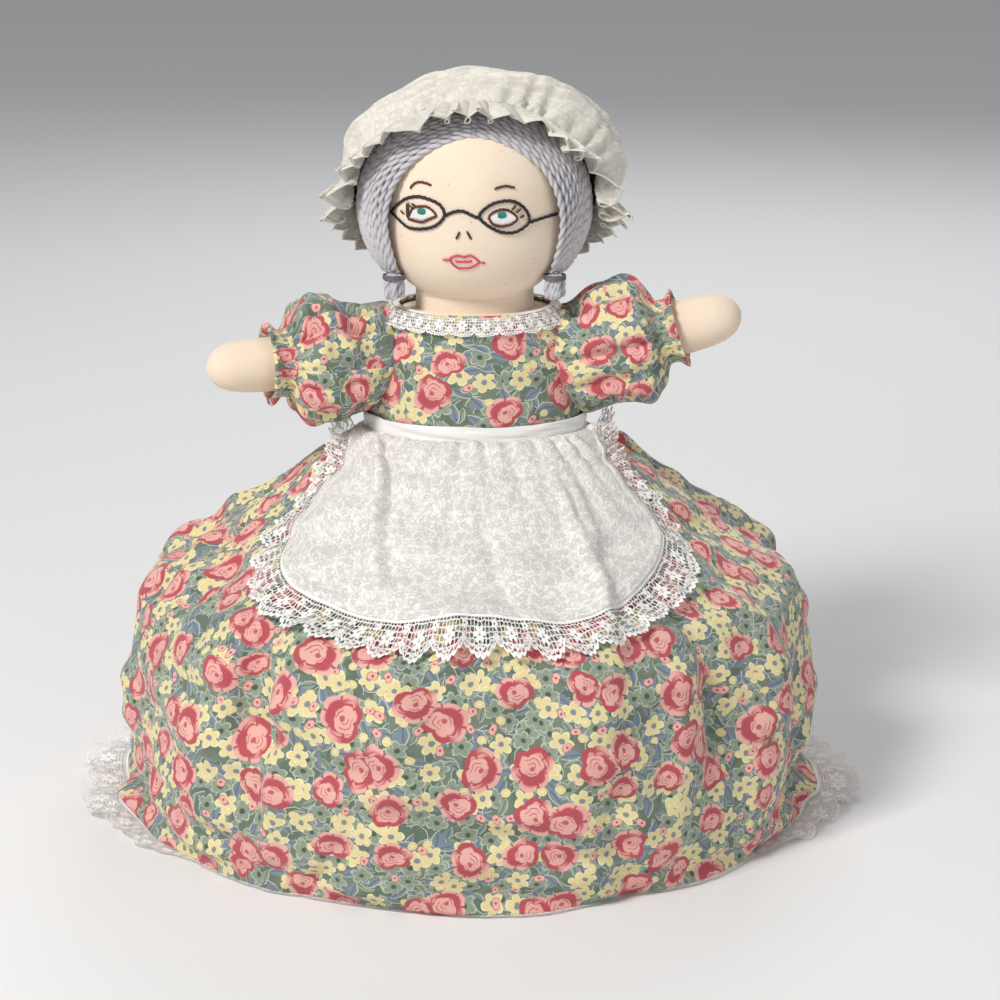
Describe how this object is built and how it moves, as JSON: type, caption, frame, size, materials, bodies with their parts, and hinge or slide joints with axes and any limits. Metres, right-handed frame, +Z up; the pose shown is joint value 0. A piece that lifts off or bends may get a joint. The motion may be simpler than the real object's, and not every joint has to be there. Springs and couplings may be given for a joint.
{
  "type": "topsy-turvy doll",
  "caption": "Cloth topsy-turvy doll: two half dolls joined at the waist under one reversible skirt, with nodding heads, swinging arms and a lift-off mob cap.",
  "frame": {"origin": "on the floor, below the middle of the doll's box", "axes": "+Z up, the old lady's face looks along -Y, +X to the viewer's right"},
  "size_m": [0.373, 0.32, 0.3528],
  "materials": {
    "muslin": "cream plain-weave cotton muslin, matt",
    "stuffing": "muslin filled with fibre, matt",
    "grey_yarn": "lavender-grey plied knitting yarn",
    "brown_yarn": "brown plied knitting yarn",
    "dark_thread": "dark sewing thread",
    "cap_cotton": "off-white cotton with a tone-on-tone pattern",
    "floral_print": "printed cotton calico, roses and small flowers on sage green",
    "plain_cotton": "plain dusty-rose cotton",
    "lace": "machine lace on a fine net",
    "satin": "white satin ribbon, soft sheen",
    "apron_cotton": "white cotton with a tone-on-tone print",
    "elastic": "thin white elastic"
  },
  "bodies": {
    "body": {"upper_torso": "stuffing", "upper_bodice": "floral_print", "upper_neck_lace": "lace", "apron_waistband": "satin", "apron_panel": "apron_cotton", "apron_lace": "lace", "apron_bow_knot": "satin", "apron_bow_loop_left": "satin", "apron_bow_loop_right": "satin", "apron_bow_tail_left": "satin", "apron_bow_tail_right": "satin", "upper_skirt": "floral_print", "lower_skirt": "plain_cotton", "hem_lace": "lace", "lower_torso": "stuffing", "lower_bodice": "plain_cotton", "lower_neck_lace": "lace"},
    "upper_head": {"upper_head": "muslin", "upper_hair": "grey_yarn", "upper_hair_bunch_left": "grey_yarn", "upper_hair_bunch_right": "grey_yarn", "upper_hair_tie_left": "dark_thread", "upper_hair_tie_right": "dark_thread"},
    "mob_cap": {"mob_cap_crown": "cap_cotton", "mob_cap_ruffle": "cap_cotton"},
    "upper_arm_left": {"upper_arm_left": "muslin", "upper_sleeve_left": "floral_print", "upper_cuff_elastic_left": "elastic"},
    "upper_arm_right": {"upper_arm_right": "muslin", "upper_sleeve_right": "floral_print", "upper_cuff_elastic_right": "elastic"},
    "lower_head": {"lower_head": "muslin", "lower_hair": "brown_yarn"},
    "lower_arm_left": {"lower_arm_left": "muslin", "lower_sleeve_left": "plain_cotton", "lower_cuff_elastic_left": "elastic"},
    "lower_arm_right": {"lower_arm_right": "muslin", "lower_sleeve_right": "plain_cotton", "lower_cuff_elastic_right": "elastic"}
  },
  "joints": [
    {"name": "upper_head_nod", "type": "hinge", "parent": "body", "child": "upper_head", "pos_m": [0.004, -0.0065, 0.237], "axis": [1, 0, 0], "range_deg": [-6, 8]},
    {"name": "mob_cap_draw", "type": "slide", "parent": "upper_head", "child": "mob_cap", "axis": [0, 0.8191, 0.5736], "range_m": [0, 0.08]},
    {"name": "upper_arm_left_raise", "type": "hinge", "parent": "body", "child": "upper_arm_left", "pos_m": [-0.044, -0.0065, 0.216], "axis": [-0.309, 0.9511, 0], "range_deg": [-20, 25]},
    {"name": "upper_arm_right_raise", "type": "hinge", "parent": "body", "child": "upper_arm_right", "pos_m": [0.052, -0.0065, 0.216], "axis": [-0.1045, -0.9945, 0], "range_deg": [-37, 8]},
    {"name": "lower_head_nod", "type": "hinge", "parent": "body", "child": "lower_head", "pos_m": [0.004, -0.0065, 0.123], "axis": [1, 0, 0], "range_deg": [-8, 6]},
    {"name": "lower_arm_left_raise", "type": "hinge", "parent": "body", "child": "lower_arm_left", "pos_m": [-0.044, -0.0065, 0.144], "axis": [-0.0872, 0.9962, 0], "range_deg": [-4, 5]},
    {"name": "lower_arm_right_raise", "type": "hinge", "parent": "body", "child": "lower_arm_right", "pos_m": [0.052, -0.0065, 0.144], "axis": [-0.0872, -0.9962, 0], "range_deg": [-4, 5]}
  ]
}
